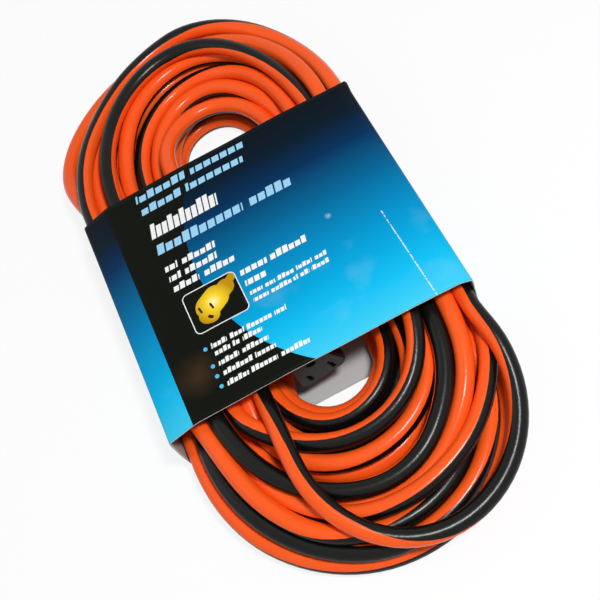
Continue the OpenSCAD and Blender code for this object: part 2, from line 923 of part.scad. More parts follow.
module lamp_leads() {
    color(nickel) at_connector() leads_form();
}

sleeve();
cord_hank();
plug_tail();
connector_tail();
plug_body();
plug_bridge();
line_blade();
neutral_blade();
ground_pin();
plug_line_wire();
plug_neutral_wire();
plug_ground_wire();
plug_line_copper();
plug_neutral_copper();
plug_ground_copper();
connector_body();
contact_carrier();
line_contact();
neutral_contact();
ground_contact();
connector_line_wire();
connector_neutral_wire();
connector_ground_wire();
connector_line_copper();
connector_neutral_copper();
connector_ground_copper();
indicator_lens();
indicator_lamp();
lamp_resistor();
lamp_leads();
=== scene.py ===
import math

import bmesh
import bpy
import numpy as np
from mathutils import Matrix, Vector


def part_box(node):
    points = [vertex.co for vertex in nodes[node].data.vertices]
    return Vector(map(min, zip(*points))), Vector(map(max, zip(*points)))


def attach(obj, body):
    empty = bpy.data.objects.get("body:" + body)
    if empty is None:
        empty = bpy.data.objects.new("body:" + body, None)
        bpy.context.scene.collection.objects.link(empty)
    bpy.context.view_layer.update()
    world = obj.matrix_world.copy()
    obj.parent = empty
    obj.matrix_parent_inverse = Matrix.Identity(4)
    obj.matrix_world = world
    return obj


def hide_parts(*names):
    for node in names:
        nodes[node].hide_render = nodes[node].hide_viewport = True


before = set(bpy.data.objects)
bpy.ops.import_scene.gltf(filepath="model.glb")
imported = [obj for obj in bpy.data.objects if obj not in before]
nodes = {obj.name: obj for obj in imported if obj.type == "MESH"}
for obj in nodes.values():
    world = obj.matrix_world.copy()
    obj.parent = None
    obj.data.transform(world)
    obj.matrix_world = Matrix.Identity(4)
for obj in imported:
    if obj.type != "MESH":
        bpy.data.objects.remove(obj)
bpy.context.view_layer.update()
scene = bpy.context.scene
scene.view_settings.view_transform = "Standard"

# ---------------------------------------------------------------------------------------------
# Camera: looks down on the hank from beyond its near fold, turned so that the hank's long axis
# runs from the lower right to the upper left. Its focal length is in widths of the frame.
mm = 0.001
view_elevation = math.radians(60)
view_azimuth = math.radians(-1.8)
view_roll = math.radians(-29.6)
view_distance = 496 * mm
view_target = Vector((4.8, -22.7, 20)) * mm
view_focal = 971 / 600

level = math.cos(view_elevation)
look = Vector((
    math.sin(view_azimuth) * level, math.cos(view_azimuth) * level, -math.sin(view_elevation)
))
camera_data = bpy.data.cameras.new("camera")
camera_data.sensor_width = 36
camera_data.lens = camera_data.sensor_width * view_focal
camera_data.clip_start = 10 * mm
camera = bpy.data.objects.new("camera", camera_data)
camera.matrix_world = (
    Matrix.Translation(view_target - view_distance * look)
    @ look.to_track_quat("-Z", "Y").to_matrix().to_4x4()
    @ Matrix.Rotation(view_roll, 4, "Z")
)
scene.collection.objects.link(camera)
scene.camera = camera

# ---------------------------------------------------------------------------------------------
# Cord: one length of round jacketed cord, orange with a broad black stripe moulded into it. It
# is wound by hand into a flat oval hank of 22 turns, and each turn lies where it fell on those
# below. Both ends turn back into the hank's eye. Its length is in metres, and the rest in mm.
cord_d = 9.2

# The even turns at the bottom lie in two layers. Each layer has its height, then the near reach
# and the far reach of its outermost turn, and after each what it loses for a mm further in.
outer_r, turn_step, run_lean = 75.5, 9.9, 0.18
low_turns, low_layer = 6, (4.6, 148, 1.1, 168, 0.75)
middle_turns, middle_layer = 3, (13.5, 154, 1.25, 170, 1)
first_fold = (27, 3, 97)
outer_stripe, inner_stripe, hidden_stripe = (-165, -138, -150), (-165, -170, -150), (-180, -180)

# Stripe angles are in degrees: 0 faces up, 90 faces the hank's eye and 180 faces down.
# Each loose turn: where its near fold leaves the left run, the middle and reach of the fold,
# where it joins the right run, its height when laid, sometimes its depth, and the stripe at even
# steps along it. Then the same for its far fold, from the right run to the left.
LOOSE_TURNS = [
    ((64, 2, 153, 71, 24), (-12, -80, -180), (70, -10, 164, 74, 24), (-180, -160, -150)),
    ((52, 0, 134, 65, 30), (-180, -190, -180),
     (78, 14, 170, 80, 36), (-180, -120, -48, -70, -80)),
    ((57, 2, 148, 66, 26), (-180, -150, -80, -45, -30),
     (72, 10, 150, 68, 20), (-90, -105, -90)),
    ((47, 4, 106, 57, 32), (-120, -95, -82, -82, -90),
     (61, 5, 154, 66, 50, 92), (-100, -55, -8, -30, -45)),
    ((42, 2, 114, 52, 26), (-180, -140, -130), (58, 8, 146, 50, 30), (-150, -75, -75)),
    ((36, 17, 161, 78, 50), (105, 105, 20, -40, -75),
     (82, 10, 168, 80, 14), (-180, -180, -180)),
    ((56, 0, 142, 76, 34), (-180, -115, -95),
     (70, -20, 170, 88, 16, 58), (-180, -180, -180)),
    ((57, 4, 132, 60, 38), (-10, -50, -20), (68, 0, 161, 62, 26), (-135, -190, -180)),
    ((40, 0, 118, 54, 22), (-180, -185, -130), (62, 4, 157, 56, 26), (-180, -180, -180)),
    ((41, 2, 105, 48, 24), (-80, -90, -70), (56, 10, 137, 42, 30), (-120, -82, -120)),
    ((40, 0, 99, 44, 15), (0, 0, -60), (52, 10, 135, 36, 32), (-180, -190, -180)),
    ((36, 0, 88, 38, 6), (-180, -180, -180), (46, 9, 129, 31, 32), (-180, -180, -180)),
    ((36, -2, 93, 36, 36), (-95, -92, -80), (42, 9, 120, 27, 36), (-180, -180, -180)),
]

# Both tails lie where the solid ones do: from the plug to the hank, and on to the connector.
PLUG_TAIL = [
    (0, 12, 13.9), (0, -9, 13.9), (-1.5, -19, 13.1), (-5, -28, 11.5), (-13, -37.5, 9.3),
    (-21, -47, 7.3), (-25, -56.5, 6.1), (-25.5, -70.8, 5.5),
]
CONNECTOR_TAIL = [
    (-25.5, 70.8, 34.6), (-25, 55.5, 34.6), (-20.5, 45, 34.6), (-14.5, 37, 34.4),
    (-8.5, 29, 33.8), (-4.5, 19, 32.4), (-3.2, 8, 30.7), (-3, -1, 29.7), (-3, -22, 29.7),
]
tail_stripe = -180


def plain_turn(out, z, near_reach, near_loss, far_reach, far_loss):
    """A turn that lies evenly, out mm further in than the outermost."""
    r = outer_r - out
    lean = run_lean * out
    near = (r + lean, 0, near_reach - near_loss * out, r + lean, z)
    far = (r + lean, lean, far_reach - far_loss * out, r, z)
    return near, inner_stripe if out else outer_stripe, far, hidden_stripe


def plain_turns():
    """The turns at the bottom: one layer laid outwards, then part of one laid inwards."""
    for n in reversed(range(low_turns)):
        near, *rest = plain_turn(n * turn_step, *low_layer)
        if n == low_turns - 1:
            near = (*first_fold, *near[3:])
        yield (near, *rest)
    for n in range(middle_turns):
        yield plain_turn(n * turn_step, *middle_layer)


def fold_path(x_in, middle, reach, x_out, side, depth, tightest=30, least_y=40, steps=24):
    """Two quarter ellipses that meet at the fold's reach."""
    depth = min(depth, min(abs(x_in - middle), abs(x_out - middle)) ** 2 / tightest)
    y = max(reach - depth, least_y)
    t = np.linspace(0, math.pi / 2, steps)
    quarters = [
        np.stack([middle + (x - middle) * np.cos(t), side * (y + (reach - y) * np.sin(t))], 1)
        for x in (x_in, x_out)
    ]
    return np.concatenate([quarters[0], quarters[1][-2::-1]])


def wound_route(point_step=5, near_slender=0.55, far_slender=0.7, begins_y=76, short_by=2):
    """The cord's middle as it is laid, and the stripe's angle at each point, in mm and degrees."""
    points, angles = [], []
    for near, near_stripe, far, far_stripe in [*plain_turns(), *LOOSE_TURNS]:
        for (start, middle, reach, end, z, *depth), stripe, side, slender in (
            (near, near_stripe, -1, near_slender), (far, far_stripe, 1, far_slender)
        ):
            depth = depth[0] if depth else slender * (start + end)
            fold = fold_path(side * start, middle, reach, -side * end, side, depth)
            points.append(np.column_stack([fold, np.full(len(fold), z)]))
            stations = np.linspace(0, 1, len(stripe))
            angles.append(np.interp(np.linspace(0, 1, len(fold)), stations, stripe))
    # The first fold starts late and the last one ends early, to leave the tails room
    begun = np.abs(points[0][:, 1]) > begins_y
    points[0], angles[0] = points[0][begun], angles[0][begun]
    points[-1], angles[-1] = points[-1][:-short_by], angles[-1][:-short_by]
    points = np.concatenate([np.array(PLUG_TAIL, float), *points, CONNECTOR_TAIL])
    angles = np.concatenate([
        np.full(len(PLUG_TAIL), tail_stripe), *angles, np.full(len(CONNECTOR_TAIL), tail_stripe)
    ])
    along = np.concatenate([[0], np.cumsum(np.linalg.norm(np.diff(points, axis=0), axis=1))])
    even = np.linspace(0, along[-1], round(along[-1] / point_step) + 1)
    unwound = np.degrees(np.unwrap(np.radians(angles)))
    route = np.stack([np.interp(even, along, points[:, k]) for k in range(3)], 1)
    return route, np.interp(even, along, unwound)


def close_pairs(points, reach):
    """Pairs of points nearer than reach that aren't neighbours along the cord."""
    cell = np.floor((points - points.min(0)) / reach).astype(int) + 1
    size = cell.max(0) + 2

    def key(c):
        return (c[:, 0] * size[1] + c[:, 1]) * size[2] + c[:, 2]

    order = np.argsort(key(cell), kind="stable")
    keys = key(cell)[order]
    found = []
    for shift in np.ndindex(3, 3, 3):
        wanted = key(cell + np.array(shift) - 1)
        low = np.searchsorted(keys, wanted, "left")
        count = np.searchsorted(keys, wanted, "right") - low
        first = np.repeat(np.arange(len(points)), count)
        offset = np.arange(count.sum()) - np.repeat(np.cumsum(count) - count, count)
        second = order[np.repeat(low, count) + offset]
        keep = second > first + 3
        found.append(np.stack([first[keep], second[keep]], 1))
    found = np.concatenate(found)
    return found[np.linalg.norm(points[found[:, 0]] - points[found[:, 1]], axis=1) < reach]


def smooth(v):
    """Eases from 0 to 1."""
    v = np.clip(v, 0, 1)
    return v * v * (3 - 2 * v)


# Room for the cord while it settles: between the floor and the sleeve's front, which slopes on
# the left, as far as the sleeve slides; between the sleeve's sides, and wider in the folds; and
# round the eye that the plug and the connector hold open. The last value leaves out the tails.
under_y, inside_y = 80, 64
floor_gap = 0.9
lid_z, lid_lift = 39.4, 26
slope, slope_from, slope_w = 0.3, 62, 14
run_side = 75.2
swell, swell_from, swell_w = 13, 76, 52
eye_x, eye_y = 23, 68
in_hank = slice(18, -22)


def hold_in(points, fall):
    """Keeps the cord on the floor, inside the sleeve and out of the eye.

    The sleeve's front comes down on the cord during the first half of its fall, from 0 to 1.
    """
    y = np.abs(points[:, 1])
    under = y < under_y
    points[:, 2] = np.maximum(points[:, 2], cord_d / 2 + floor_gap * under)
    sloped = lid_z - slope * np.clip(-points[under, 0] - slope_from, 0, slope_w)
    points[under, 2] = np.minimum(points[under, 2], sloped + lid_lift * (1 - min(1, 2 * fall)))
    side = run_side + swell * smooth((y - swell_from) / swell_w)
    points[:, 0] = np.clip(points[:, 0], -side, side)
    wound = np.zeros(len(points), bool)
    wound[in_hank] = True
    eye = wound & (y < eye_y) & (np.abs(points[:, 0]) < eye_x)
    points[eye, 0] = np.where(points[eye, 0] > 0, eye_x, -eye_x)


def push_apart(points, a, b, share):
    """Moves each pair of points that is nearer than the cord's diameter apart."""
    apart = points[a] - points[b]
    distance = np.linalg.norm(apart, axis=1) + 1e-9
    deep = distance < cord_d
    push = (share * (cord_d - distance[deep]) / distance[deep])[:, None] * apart[deep]
    for k in range(3):
        points[:, k] += np.bincount(a[deep], push[:, k], len(points))
        points[:, k] -= np.bincount(b[deep], push[:, k], len(points))


def keep_length(points, spacing, share):
    """Moves neighbours along the cord back towards their own distance."""
    link = np.diff(points, axis=0)
    length = np.linalg.norm(link, axis=1)
    slack = (share * (length - spacing) / length)[:, None] * link
    points[:-1] += slack
    points[1:] -= slack


def bend(points):
    """How each point but the two ends lies off the middle between its neighbours, doubled."""
    return points[:-2] + points[2:] - 2 * points[1:-1]


def round_off(laid, rounds=30, end_rounds=10, end=25):
    """Rounds the laid cord where it climbs, and sideways where it turns into the tails."""
    for n in range(rounds):
        laid_bend = bend(laid)
        laid[1:-1] += 0.3 * laid_bend * (0.2, 0.2, 1)
        if n < end_rounds:
            laid[1:end + 1] += 0.25 * laid_bend[:end] * (1, 1, 0)
            laid[-end - 1:-1] += 0.25 * laid_bend[-end:] * (1, 1, 0)


def settle(laid, sinking=400, clearing=60, easing=40, weight=0.25, hold=0.03, room=3, fresh=6):
    """Lets the laid cord sink under its weight until its turns rest on each other.

    It weighs less towards the end. Then it clears what still overlaps, and eases the bends. Pairs
    that may touch, with some room between them, are found anew every few steps.
    """
    spacing = np.linalg.norm(np.diff(laid, axis=0), axis=1)
    own_bend = bend(laid) * (1, 1, 0)
    points = laid.copy()

    def near_pairs():
        return close_pairs(points, cord_d + room).T

    def straighten(share):
        points[1:-1] += share * (bend(points) - own_bend)

    def stay_put(fall, first=22, last=22):
        hold_in(points, fall)
        points[:first], points[-last:] = laid[:first], laid[-last:]

    for step in range(sinking):
        fall = step / sinking
        if step % fresh == 0:
            a, b = near_pairs()
        points[:, 2] -= weight * min(1, 1.8 - 1.5 * fall)
        points[:, :2] += hold * (laid - points)[:, :2]
        for _ in range(3):
            push_apart(points, a, b, share=0.275)
            keep_length(points, spacing, share=0.25)
            straighten(share=0.22)
            straighten(share=0.22)
            stay_put(fall)
    for step in range(clearing):
        if step % fresh == 0:
            a, b = near_pairs()
        push_apart(points, a, b, share=0.48)
        keep_length(points, spacing, share=0.3)
        straighten(share=0.16)
        stay_put(fall=1)
    for _ in range(easing):
        straighten(share=np.where(np.abs(points[1:-1, 1:2]) < inside_y, 0.24, 0.08))
        push_apart(points, a, b, share=0.1)
        stay_put(fall=1, last=8)
    return points


laid_route, stripe_angle = wound_route()
round_off(laid_route)
cord_route = settle(laid_route) * mm

centre_line = bpy.data.curves.new("cord", "CURVE")
centre_line.dimensions = "3D"
centre_line.twist_mode = "Z_UP"
centre_line.bevel_depth = cord_d / 2 * mm
centre_line.bevel_resolution = 7
centre_line.use_fill_caps = True
spline = centre_line.splines.new("POLY")
spline.points.add(len(cord_route) - 1)
spline.points.foreach_set("co", np.column_stack([cord_route, np.ones(len(cord_route))]).ravel())
carrier = bpy.data.objects.new("cord_line", centre_line)
scene.collection.objects.link(carrier)
cord_mesh = bpy.data.meshes.new_from_object(carrier)
bpy.data.objects.remove(carrier)
cord_mesh.name = "cord"
cord_mesh.shade_smooth()
cord = bpy.data.objects.new("cord", cord_mesh)
scene.collection.objects.link(cord)

# How squarely each point of the jacket faces the way that the stripe does, from -1 to 1. In the
# mesh, the rings of the two caps come before those of the route.
cap_rings = 2
way = np.gradient(cord_route, axis=0)
way /= np.linalg.norm(way, axis=1)[:, None]
inward = np.cross((0, 0, 1), way)
inward /= np.linalg.norm(inward, axis=1)[:, None]
upward = np.cross(way, inward)
turned = np.radians(stripe_angle)[:, None]
stripe_way = np.cos(turned) * upward + np.sin(turned) * inward
skin = np.empty(len(cord_mesh.vertices) * 3)
cord_mesh.vertices.foreach_get("co", skin)
skin = skin.reshape(-1, 3)
ring = np.arange(len(skin)) // (len(skin) // len(cord_route)) - cap_rings
ring = np.clip(ring, 0, len(cord_route) - 1)
facing = ((skin - cord_route[ring]) * stripe_way[ring]).sum(1) / (cord_d / 2 * mm)
stripe = cord_mesh.attributes.new("stripe", "FLOAT", "POINT")
stripe.data.foreach_set("value", facing.astype(np.float32))


class Value:
    """A socket that carries a value. Python's operators on it add Math nodes."""

    def __init__(self, finish, socket):
        self.finish, self.socket = finish, socket

    def maths(self, operation, *others, **settings):
        sockets = dict(enumerate((self, *others)))
        return self.finish.node("ShaderNodeMath", sockets, operation=operation, **settings)

    def __add__(self, other):
        return self.maths("ADD", other)

    def __sub__(self, other):
        return self.maths("SUBTRACT", other)

    def __rsub__(self, other):
        return self.finish.node("ShaderNodeMath", {0: other, 1: self}, operation="SUBTRACT")

    def __mul__(self, other):
        return self.maths("MULTIPLY", other)

    def __gt__(self, other):
        return self.maths("GREATER_THAN", other)

    def __lt__(self, other):
        return self.maths("LESS_THAN", other)

    def __abs__(self):
        return self.maths("ABSOLUTE")

    __radd__ = __add__
    __rmul__ = __mul__


class Finish:
    """A material, or the world's light, whose nodes are added one by one."""

    def __init__(self, name, world=None, **sockets):
        self.material = world or bpy.data.materials.new(name)
        self.material.use_nodes = True
        self.tree = self.material.node_tree
        self.shader = next(
            n for n in self.tree.nodes if n.type in ("BSDF_PRINCIPLED", "BACKGROUND")
        )
        self.set(**sockets)

    def node(self, kind, sockets=None, output=0, stops=None, **settings):
        """Adds a node. Its settings are made first, then its ramp's stops, then its sockets."""
        made = self.tree.nodes.new(kind)
        for name, value in settings.items():
            setattr(made, name, value)
        if stops:
            ramp = made.color_ramp
            while len(ramp.elements) < len(stops):
                ramp.elements.new(1)
            for element, (place, colour) in zip(ramp.elements, stops):
                element.position, element.color = place, (*colour, 1)
        for name, value in (sockets or {}).items():
            self.join(made.inputs[name], value)
        return Value(self, made.outputs[output])

    def join(self, socket, value):
        if isinstance(value, Value):
            self.tree.links.new(value.socket, socket)
        elif socket.type == "RGBA":
            socket.default_value = (*value, 1)
        else:
            socket.default_value = value

    def set(self, **sockets):
        for name, value in sockets.items():
            self.join(self.shader.inputs[name.replace("_", " ")], value)

    def mix(self, factor, a, b):
        return self.node("ShaderNodeMix", {0: factor, 6: a, 7: b}, output=2, data_type="RGBA")

    def place(self):
        return self.node("ShaderNodeTexCoord", output="Object")

    def noise(self, scale, detail, stretch=(1, 1, 1)):
        spot = self.node(
            "ShaderNodeVectorMath", {0: self.place(), 1: stretch}, operation="MULTIPLY"
        )
        return self.node("ShaderNodeTexNoise", {"Vector": spot, "Scale": scale, "Detail": detail})

    def bump(self, height, strength, distance):
        sockets = {"Height": height, "Strength": strength, "Distance": distance}
        self.set(Normal=self.node("ShaderNodeBump", sockets))

    def on(self, *pieces):
        for piece in pieces:
            piece.data.materials.clear()
            piece.data.materials.append(self.material)


orange, deep_orange = (0.98, 0.118, 0.013), (0.9, 0.09, 0.01)
stripe_black = (0.0035, 0.0035, 0.003)
stripe_edge, edge_wander, edge_sharpness = 0.02, 0.06, 30
jacket = Finish("cord_jacket", IOR=1.45, Specular_IOR_Level=0.22)
squarely = jacket.node("ShaderNodeAttribute", output="Fac", attribute_name="stripe")
wander = jacket.noise(60, 1) - 0.5
past_edge = squarely - stripe_edge + edge_wander * wander
in_stripe = (past_edge * edge_sharpness).maths("ADD", 0.5, use_clamp=True)
clouding = jacket.mix(jacket.noise(35, 3), orange, deep_orange)
jacket.set(
    Base_Color=jacket.mix(in_stripe, clouding, stripe_black),
    Roughness=0.16 + 0.09 * jacket.noise(180, 2) + 0.05 * in_stripe,
)
jacket.bump(jacket.noise(420, 2), 0.12, 0.4 * mm)
jacket.on(cord)

cord_nodes = ("cord_hank", "plug_tail", "connector_tail")
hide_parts(*cord_nodes)
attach(cord, "cord")

# ---------------------------------------------------------------------------------------------
# Sleeve: one piece of thin coated board, printed outside, folded round the hank's waist and
# glued to itself underneath. Its front has a folded strip along each side, and the press of the
# cord inside bows it a little.
board_t = 0.6
half_w, half_l, sleeve_top = (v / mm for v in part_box("sleeve")[1])
left_strip_w, left_strip_drop = 16.5, 6
right_strip_w, right_strip_drop = 6.5, 3
corner_gap = 0.3
corner_r, fold_r = cord_d / 2 + corner_gap + board_t, 1.6
corner_steps, fold_steps = 6, 3
least_panel_w, cuts_across, cuts_along = 20, 30, 55
front_z, front_ease = 30, 12
bow, bow_x, bow_half_w = 1.3, 4, 68
side_bulge, side_ease, side_z, side_half_h = 0.7, 6, 20, 26
nib_x, nib_r, nib_lift = half_w - 1.5, 5, Vector((0.9, 1.4, 0.5))

board = bmesh.new()
corners = [board.verts.new((x * mm, -half_l * mm, z * mm)) for x, z in (
    (half_w, 0), (half_w, sleeve_top - right_strip_drop), (half_w - right_strip_w, sleeve_top),
    (left_strip_w - half_w, sleeve_top), (-half_w, sleeve_top - left_strip_drop), (-half_w, 0),
)]
for a, b in zip(corners, corners[1:] + corners[:1]):
    board.edges.new((a, b))
bottom, top = [corners[0], corners[5]], corners[1:5]
for group, radius, steps in ((bottom, corner_r, corner_steps), (top, fold_r, fold_steps)):
    bmesh.ops.bevel(
        board, geom=group, offset=radius * mm, offset_type="OFFSET", affect="VERTICES",
        segments=steps, profile=0.5, material=-1,
    )
panels = [e for e in board.edges if e.calc_length() > least_panel_w * mm]
bmesh.ops.subdivide_edges(board, edges=panels, cuts=cuts_across)
grown = bmesh.ops.extrude_edge_only(board, edges=board.edges[:])
far_edge = [v for v in grown["geom"] if isinstance(v, bmesh.types.BMVert)]
bmesh.ops.translate(board, verts=far_edge, vec=(0, 2 * half_l * mm, 0))
lengthwise = [e for e in board.edges if abs(e.verts[0].co.y - e.verts[1].co.y) > half_l * mm]
bmesh.ops.subdivide_edges(board, edges=lengthwise, cuts=cuts_along, use_grid_fill=True)
bmesh.ops.recalc_face_normals(board, faces=board.faces[:])
for vert in board.verts:
    x, y, z = vert.co / mm
    in_front = float(smooth((z - front_z) / front_ease))
    across = max(0, 1 - ((x - bow_x) / bow_half_w) ** 2)
    mouth = (abs(y) / half_l) ** 3
    ripple = 0.3 * math.sin(0.09 * x + 0.05 * y) + 0.2 * math.sin(0.13 * y - 0.06 * x + 1)
    vert.co.z += in_front * (bow * across * (0.35 + 0.65 * mouth) + ripple * across) * mm
    in_side = float(smooth((abs(x) - half_w + side_ease) / side_ease))
    in_side *= max(0, 1 - abs(z - side_z) / side_half_h)
    vert.co.x += math.copysign(side_bulge * in_side * (0.4 + 0.6 * mouth), x) * mm
    nib = max(0, 1 - math.dist((x, y), (nib_x, half_l)) / nib_r) * in_front
    vert.co += nib_lift * nib * mm
sleeve_mesh = bpy.data.meshes.new("card_sleeve")
board.to_mesh(sleeve_mesh)
board.free()
sleeve_mesh.shade_smooth()
sleeve = bpy.data.objects.new("card_sleeve", sleeve_mesh)
scene.collection.objects.link(sleeve)
wall = sleeve.modifiers.new("wall", "SOLIDIFY")
wall.thickness = board_t * mm
wall.offset = -1
wall.material_offset = 1
wall.material_offset_rim = 2

# The print fades from near black at the far mouth to bright blue at the near one, with a black
# field down the left, whose edge is an arc. Plain bars stand where such a sleeve has its words:
# y, height, and the x of the start and end of each word.
TITLE_BARS = [
    (64, 4.9, ((-48, -18.5), (-15, 16.5))),
    (55.5, 4.9, ((-48.5, -23.5), (-21, 13))),
    (28.5, 6.2, ((-48.5, 1.5), (5.5, 29.5))),
]
HEADING_BARS = [
    (40.8, 9.4, ((-47.5, -8.5),)),
    (15.8, 4, ((-48.5, -41.5), (-39, -20))),
    (9.3, 4, ((-48.5, -42), (-39.5, -21.5))),
    (2.7, 4, ((-48.5, -34), (-31.5, -14))),
    (-7.4, 4, ((-14.8, 0), (1.5, 22))),
    (-13.9, 4, ((-14.8, -3.5),)),
]
TEXT_BARS = [
    (-20.3, 2.6, ((-14.8, -8), (-6.8, -1), (0, 9.5), (10.8, 19.5), (21, 27.5))),
    (-24.8, 2.6, ((-14.8, -6.5), (-5, 6), (7.2, 9.8), (11, 16), (17.4, 27))),
    (-36.8, 2.9, ((-43, -34.5), (-33, -25), (-23.5, -10), (-8.5, -2.2))),
    (-41.2, 2.9, ((-43, -34.5), (-33, -29), (-27.5, -17))),
    (-47, 2.9, ((-43, -32), (-30.5, -16))),
    (-52.8, 2.9, ((-43, -27), (-25.5, -14.5))),
    (-58.7, 2.9, ((-43, -31.5), (-30, -16), (-14.5, 0.8))),
]
BULLETS_Y = (-36.8, -47, -52.8, -58.7)
bullet_x, bullet_r = -46.2, 1.1
title_pitch, heading_pitch, text_pitch = 4.9, 3.5, 2.3
bar_lean, bar_fill, short_bars, tall_share = 0.2, 0.8, 0.62, 0.24
arc_x, arc_y, arc_r = 66.2, 5.8, 100.7
field_left, field_right = -66, 40
ink_black, ink_white, ink_pale = (0.0035, 0.0045, 0.0028), (0.86, 0.87, 0.87), (0.32, 0.62, 0.85)
ink_bullet, rubbed_pale, rubbed_brown = (0.08, 0.5, 0.8), (0.75, 0.86, 0.9), (0.5, 0.26, 0.1)

printed = Finish("sleeve_print", IOR=1.45, Specular_IOR_Level=0.06)
in_mm = printed.node("ShaderNodeVectorMath", {0: printed.place(), 3: 1 / mm}, operation="SCALE")
split = printed.node("ShaderNodeSeparateXYZ", {0: in_mm}).socket.node.outputs
card_x, card_y, card_z = (Value(printed, socket) for socket in split)
front = card_z > front_z
colour = printed.node("ShaderNodeValToRGB", {0: card_y * (0.5 / half_l) + 0.5}, stops=[
    (0.02, (0.045, 0.58, 0.87)), (0.14, (0.006, 0.49, 0.83)), (0.26, (0.001, 0.37, 0.69)),
    (0.41, (0.001, 0.245, 0.51)), (0.57, (0.001, 0.125, 0.29)), (0.74, (0.001, 0.028, 0.095)),
    (0.86, (0.001, 0.0095, 0.021)), (0.98, (0.0022, 0.0052, 0.0088)),
])


def within(low, value, high):
    return (value > low) * (value < high)


def from_point(x, y):
    """Distance on the front from a point."""
    dx, dy = card_x - x, card_y - y
    return (dx * dx + dy * dy).maths("SQRT")


black_field = (from_point(arc_x, arc_y) > arc_r) * within(field_left, card_x, field_right) * front
colour = printed.mix(black_field, colour, ink_black)

slant = card_x - card_y * bar_lean
for ink, pitch, rows in (
    (ink_pale, title_pitch, TITLE_BARS), (ink_white, heading_pitch, HEADING_BARS),
    (ink_white, text_pitch, TEXT_BARS),
):
    cell = slant * (1 / pitch)
    tall = printed.node(
        "ShaderNodeTexWhiteNoise", {1: cell.maths("FLOOR")}, noise_dimensions="1D"
    ) > short_bars
    bars = 0
    for row_y, high, words in rows:
        low, short = row_y - high / 2, high - tall_share * high
        row = (card_y > low) * (card_y - tall * (tall_share * high) < low + short)
        lean = bar_lean * row_y
        bars = bars + row * sum(within(a - lean, slant, b - lean) for a, b in words)
    colour = printed.mix(bars * (cell.maths("FRACT") < bar_fill) * front, colour, ink)
for bullet_y in BULLETS_Y:
    colour = printed.mix((from_point(bullet_x, bullet_y) < bullet_r) * front, colour, ink_bullet)

# Picture of a lighted connector, in a rounded frame. Each part of it is a streak between two
# points, with a radius: the body, the neck, the cord and the foot, then two slots and a hole.
frame_x, frame_half_w = -32.3, 11.7
frame_y, frame_half_h = -16, 9.2
rim_r, ground_r, picture_r = 3.1, 2.6, 2.5
glow_x, glow_y, glow_fade = -33, -15, 0.08
LIT_PARTS = [
    (-36, -16.2, -31, -13.4, 6.9), (-28, -12.5, -24.5, -10.5, 4.6),
    (-24, -10, -19.6, -6.6, 2.2), (-38.2, -20.5, -36.5, -21, 4.6),
]
DARK_HOLES = [
    (-40.9, -14.8, -40.4, -17.4, 0.6), (-34.8, -15.4, -34.3, -18, 0.6),
    (-37.6, -21.6, -36.6, -22.4, 0.9),
]
past_x = (abs(card_x - frame_x) - frame_half_w).maths("MAXIMUM", 0)
past_y = (abs(card_y - frame_y) - frame_half_h).maths("MAXIMUM", 0)
past_frame = (past_x * past_x + past_y * past_y).maths("SQRT")
colour = printed.mix((past_frame < rim_r) * front, colour, ink_white)
colour = printed.mix((past_frame < ground_r) * front, colour, ink_black)


def streak(ax, ay, bx, by, r):
    """Where the front is nearer than r to the line between two points."""
    wide, high = bx - ax, by - ay
    part = ((card_x - ax) * wide + (card_y - ay) * high) * (1 / (wide ** 2 + high ** 2))
    part = part.maths("MAXIMUM", 0).maths("MINIMUM", 1)
    dx, dy = card_x - ax - part * wide, card_y - ay - part * high
    return dx * dx + dy * dy < r * r


from_glow = from_point(glow_x, glow_y) * glow_fade
glow = printed.node("ShaderNodeValToRGB", {0: from_glow}, stops=[
    (0, (1.0, 0.95, 0.45)), (0.3, (0.95, 0.66, 0.03)), (0.9, (0.5, 0.27, 0.004)),
])
in_frame = (past_frame < picture_r) * front
lit = sum(streak(*part) for part in LIT_PARTS).maths("MINIMUM", 1)
colour = printed.mix(lit * in_frame, colour, glow)
holes = sum(streak(*hole) for hole in DARK_HOLES)
colour = printed.mix(holes * in_frame, colour, (0.03, 0.015, 0.003))

# Wear: a rubbed score along the right, a brown rub on the black field, a pale scuff and haze, and
# the edge of the glued lap underneath. The rub and the scuff fade by a share for each mm.
score_x, score_y, score_lean, score_top = 61, -15, 0.032, -14
rub_x, rub_y, rub_fade = -55, -47, 0.075
scuff_x, scuff_y, scuff_fade = 37, -2, 0.5
haze_top = -20
lap_x, lap_t, lap_z = 51.6, 0.4, 3

grain, cloud = printed.noise(900, 2), printed.noise(45, 3)
from_score = abs(card_x - score_x + (card_y - score_y) * score_lean)
worn = (grain + 0.2 * cloud > 0.52) * front
score = (from_score < 0.15 + 0.3 * grain) * (card_y < score_top) * worn
colour = printed.mix(score * 0.75, colour, rubbed_pale)
rub = (1 - from_point(rub_x, rub_y) * rub_fade).maths("MAXIMUM", 0) * cloud * front
colour = printed.mix(rub * 0.16, colour, rubbed_brown)
lap = within(lap_x, card_x, lap_x + lap_t) * (card_z < lap_z)
colour = printed.mix(lap * 0.6, colour, ink_black)
scuff = (1 - from_point(scuff_x, scuff_y) * scuff_fade).maths("MAXIMUM", 0) * grain
haze = (cloud - 0.55).maths("MAXIMUM", 0) * (card_y < haze_top) * (1 - black_field)
colour = printed.mix((scuff * 0.8 + haze * 0.25) * front, colour, rubbed_pale)
printed.set(Base_Color=colour, Roughness=0.34 + 0.16 * cloud)
printed.bump(grain + 2 * cloud, 0.1, 0.2 * mm)

